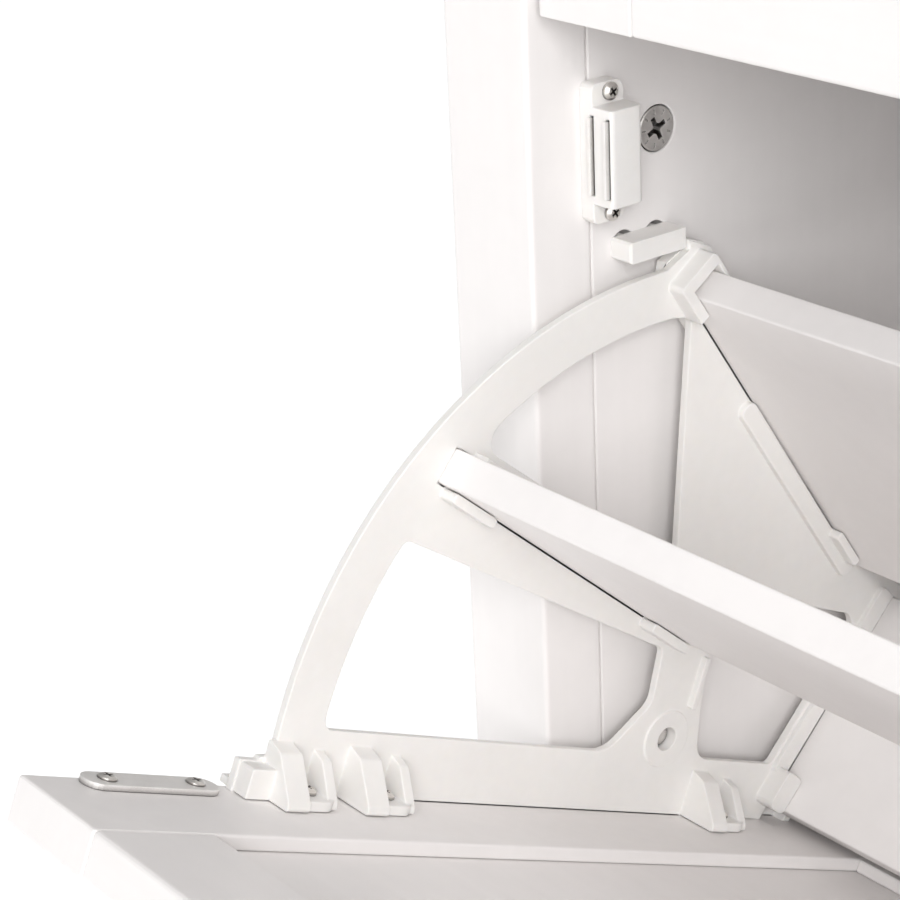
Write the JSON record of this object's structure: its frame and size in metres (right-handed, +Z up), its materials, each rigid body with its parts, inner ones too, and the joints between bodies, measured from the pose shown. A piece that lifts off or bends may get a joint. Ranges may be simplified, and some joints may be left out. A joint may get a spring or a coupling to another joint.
{
  "type": "shoe cabinet",
  "caption": "Slim wall-side cabinet with framed doors that tip out on pivots and carry moulded side frames holding shoe boards.",
  "frame": {"origin": "middle of the floor area covered by the cabinet with its lower bin tipped open, at floor level", "axes": "+Z up, -Y out of the front where the bins tip open, +Y to the wall, X along the width"},
  "size_m": [0.7, 0.4478, 0.911],
  "materials": {
    "white_lacquer": "satin white paint on fibreboard and solid wood",
    "white_moulding": "off-white moulded plastic, fine matt texture",
    "zinc": "bright zinc plate, lightly brushed",
    "nickel": "nickel plate, satin",
    "back_board": "white film on hardboard",
    "glide": "pale plastic"
  },
  "bodies": {
    "cabinet": {"left_front_post": "white_lacquer", "right_front_post": "white_lacquer", "left_rear_post": "white_lacquer", "right_rear_post": "white_lacquer", "left_side_panel": "white_lacquer", "right_side_panel": "white_lacquer", "top_board": "white_lacquer", "top_front_rail": "white_lacquer", "bottom_front_rail": "white_lacquer", "base_shelf": "white_lacquer", "back_panel": "back_board", "wall_rail": "white_lacquer", "foot_glides": "glide", "cam_fittings": "zinc", "cam_bolts": "zinc", "lower_left_catch": "white_moulding", "lower_right_catch": "white_moulding", "upper_left_catch": "white_moulding", "upper_right_catch": "white_moulding", "catch_poles": "zinc", "catch_screws": "nickel", "lower_left_stop": "white_moulding", "lower_right_stop": "white_moulding", "upper_left_stop": "white_moulding", "upper_right_stop": "white_moulding", "lower_left_pin": "zinc", "lower_right_pin": "zinc", "upper_left_pin": "zinc", "upper_right_pin": "zinc"},
    "lower_bin": {"lower_left_frame": "white_moulding", "lower_right_frame": "white_moulding", "lower_left_stile": "white_lacquer", "lower_right_stile": "white_lacquer", "lower_top_rail": "white_lacquer", "lower_bottom_rail": "white_lacquer", "lower_door_panel": "white_lacquer", "lower_bottom_board": "white_lacquer", "lower_middle_board": "white_lacquer", "lower_rear_board": "white_lacquer", "lower_strikes": "zinc", "lower_strike_screws": "nickel", "lower_frame_screws": "nickel", "lower_knob": "nickel", "lower_knob_screw": "zinc"},
    "upper_bin": {"upper_left_frame": "white_moulding", "upper_right_frame": "white_moulding", "upper_left_stile": "white_lacquer", "upper_right_stile": "white_lacquer", "upper_top_rail": "white_lacquer", "upper_bottom_rail": "white_lacquer", "upper_door_panel": "white_lacquer", "upper_bottom_board": "white_lacquer", "upper_middle_board": "white_lacquer", "upper_rear_board": "white_lacquer", "upper_strikes": "zinc", "upper_strike_screws": "nickel", "upper_frame_screws": "nickel", "upper_knob": "nickel", "upper_knob_screw": "zinc"}
  },
  "joints": [
    {"name": "lower_bin_tilt", "type": "hinge", "parent": "cabinet", "child": "lower_bin", "pos_m": [0, 0.02594, 0.217], "axis": [1, 0, 0], "range_deg": [-65.5, 0]},
    {"name": "upper_bin_tilt", "type": "hinge", "parent": "cabinet", "child": "upper_bin", "pos_m": [0, 0.02594, 0.601], "axis": [1, 0, 0], "range_deg": [0, 65.5]}
  ]
}
